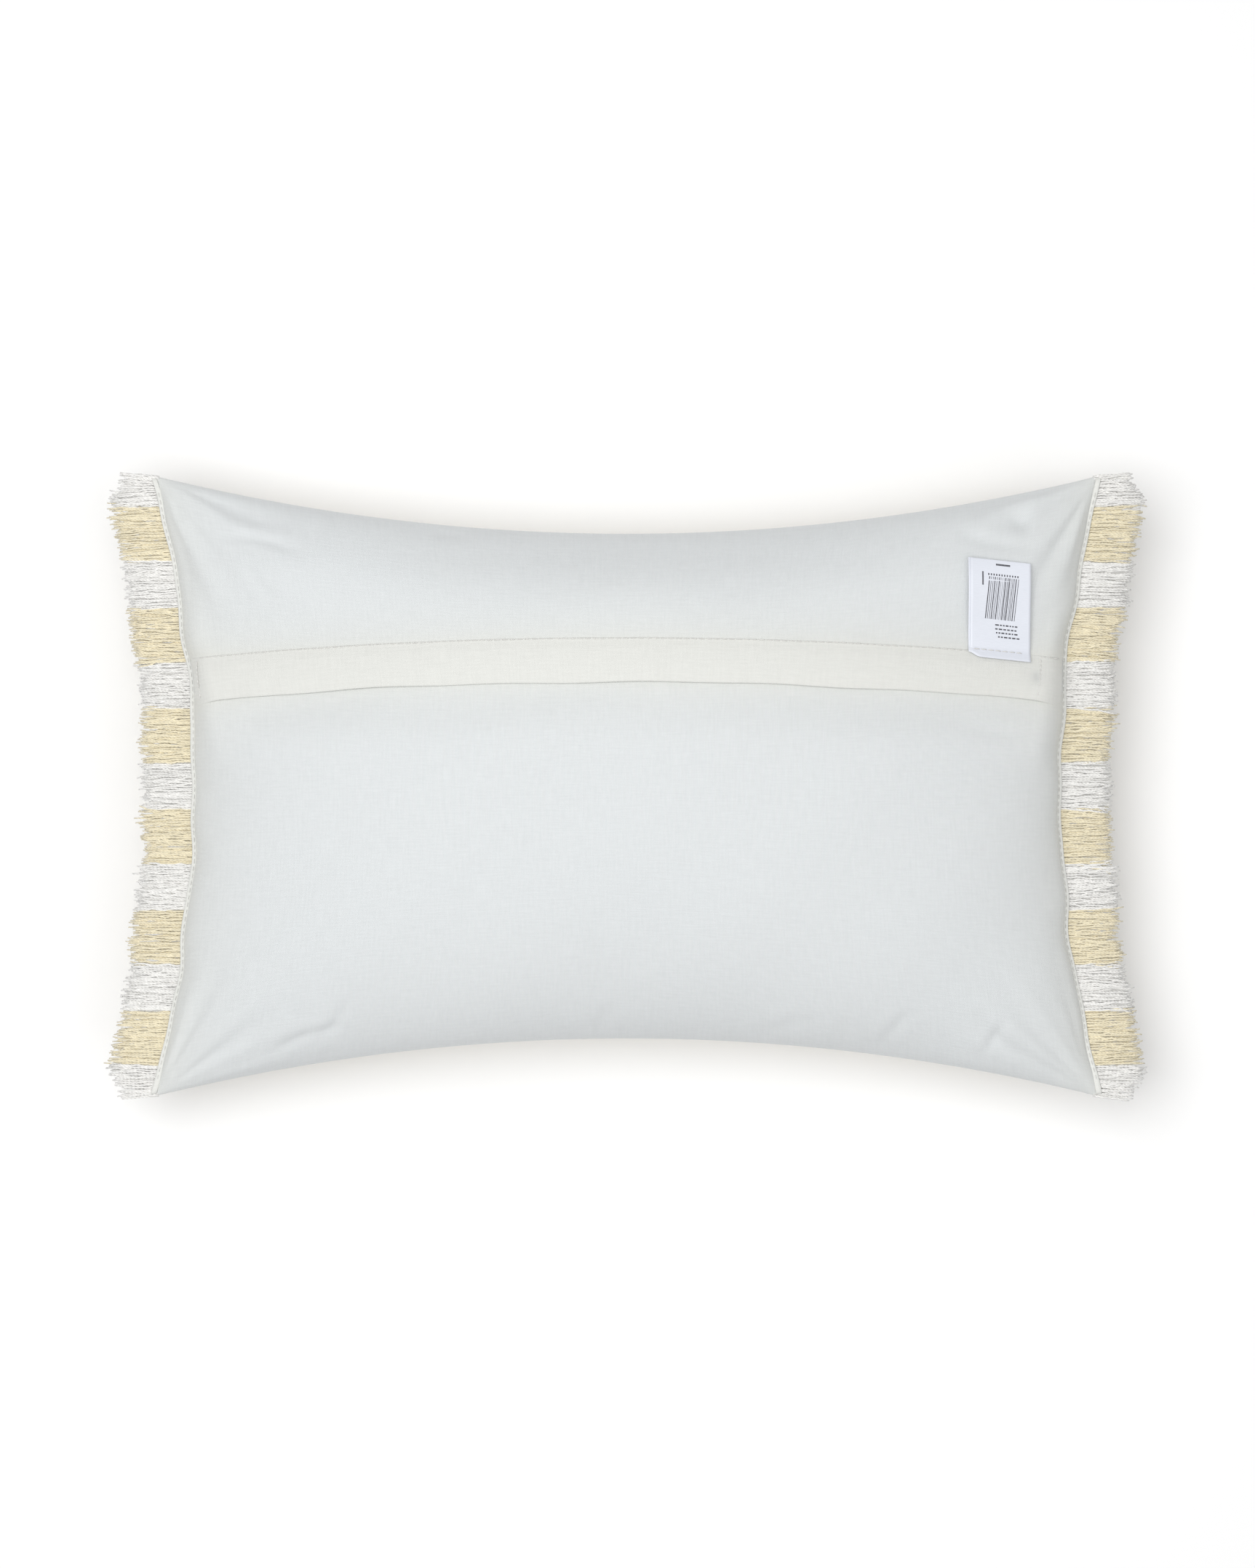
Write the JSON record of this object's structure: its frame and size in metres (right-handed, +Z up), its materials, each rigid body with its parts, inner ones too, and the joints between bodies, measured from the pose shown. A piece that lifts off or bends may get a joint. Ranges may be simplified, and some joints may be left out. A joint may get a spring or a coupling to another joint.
{
  "type": "throw pillow",
  "caption": "Oblong throw pillow: zipped cotton cover with a plain back, hidden zip placket, care label and yarn fringe on both short ends, over a fibre-filled inner cushion.",
  "frame": {"origin": "on the floor under the middle of the cushion", "axes": "+X along the cushion between the fringed ends, +Y across it towards the placket side, +Z up through its thickness, with the striped front down and the plain back up"},
  "size_m": [0.4988, 0.294, 0.1282],
  "materials": {
    "striped_cotton": "woven, matt",
    "plain_cotton": "plain weave, matt",
    "thread": "spun thread",
    "zip_tape": "woven tape",
    "zip_coil": "moulded coil",
    "slider_metal": "nickel plated",
    "insert_cloth": "nonwoven",
    "fibre": "loose fibre",
    "label_satin": "satin",
    "yellow_yarn": "twisted yarn",
    "white_yarn": "twisted yarn"
  },
  "bodies": {
    "cover_and_insert": {"front_panel": "striped_cotton", "back_panel_upper": "plain_cotton", "back_panel_lower": "plain_cotton", "placket_flap": "plain_cotton", "placket_topstitch": "thread", "lower_zip_hem": "plain_cotton", "zip_tape_upper": "zip_tape", "zip_tape_lower": "zip_tape", "zip_coil_upper": "zip_coil", "zip_coil_lower": "zip_coil", "zip_bartack_left": "thread", "zip_bartack_right": "thread", "long_seam_allowance_top": "plain_cotton", "long_seam_allowance_bottom": "plain_cotton", "insert_shell_back": "insert_cloth", "insert_shell_front": "insert_cloth", "insert_filling": "fibre", "insert_closing_stitch": "thread", "care_label_sewn_end": "label_satin", "care_label_stitch": "thread", "placket_end_left": "plain_cotton", "placket_end_right": "plain_cotton", "left_back_lip": "plain_cotton", "left_lip_stitch": "thread", "right_back_lip": "plain_cotton", "right_lip_stitch": "thread", "left_fringe_white_1": "white_yarn", "left_fringe_yellow_1": "yellow_yarn", "left_fringe_white_2": "white_yarn", "left_fringe_yellow_2": "yellow_yarn", "left_fringe_white_3": "white_yarn", "left_fringe_yellow_3": "yellow_yarn", "left_fringe_white_4": "white_yarn", "left_fringe_yellow_4": "yellow_yarn", "left_fringe_white_5": "white_yarn", "left_fringe_yellow_5": "yellow_yarn", "left_fringe_white_6": "white_yarn", "left_fringe_yellow_6": "yellow_yarn", "left_fringe_white_7": "white_yarn", "right_fringe_white_1": "white_yarn", "right_fringe_yellow_1": "yellow_yarn", "right_fringe_white_2": "white_yarn", "right_fringe_yellow_2": "yellow_yarn", "right_fringe_white_3": "white_yarn", "right_fringe_yellow_3": "yellow_yarn", "right_fringe_white_4": "white_yarn", "right_fringe_yellow_4": "yellow_yarn", "right_fringe_white_5": "white_yarn", "right_fringe_yellow_5": "yellow_yarn", "right_fringe_white_6": "white_yarn", "right_fringe_yellow_6": "yellow_yarn", "right_fringe_white_7": "white_yarn"},
    "zip_slider": {"zip_slider": "slider_metal"},
    "pull_tab": {"zip_pull_tab": "slider_metal"},
    "care_label": {"care_label": "label_satin"}
  },
  "joints": [
    {"name": "slider_travel", "type": "hinge", "parent": "cover_and_insert", "child": "zip_slider", "pos_m": [0, -0.04122, -0.38873], "axis": [0, 0.9816, -0.1908], "range_deg": [-40, 0]},
    {"name": "pull_tab_swing", "type": "hinge", "parent": "zip_slider", "child": "pull_tab", "pos_m": [0.18681, 0.05098, 0.08561], "axis": [0, 0.9816, -0.1908], "range_deg": [0, 165], "deforming": ["placket_flap"]},
    {"name": "label_flip", "type": "hinge", "parent": "cover_and_insert", "child": "care_label", "pos_m": [0.1735, 0.0637, 0.0915], "axis": [0.9424, -0.0848, -0.3235], "range_deg": [0, 125]}
  ]
}
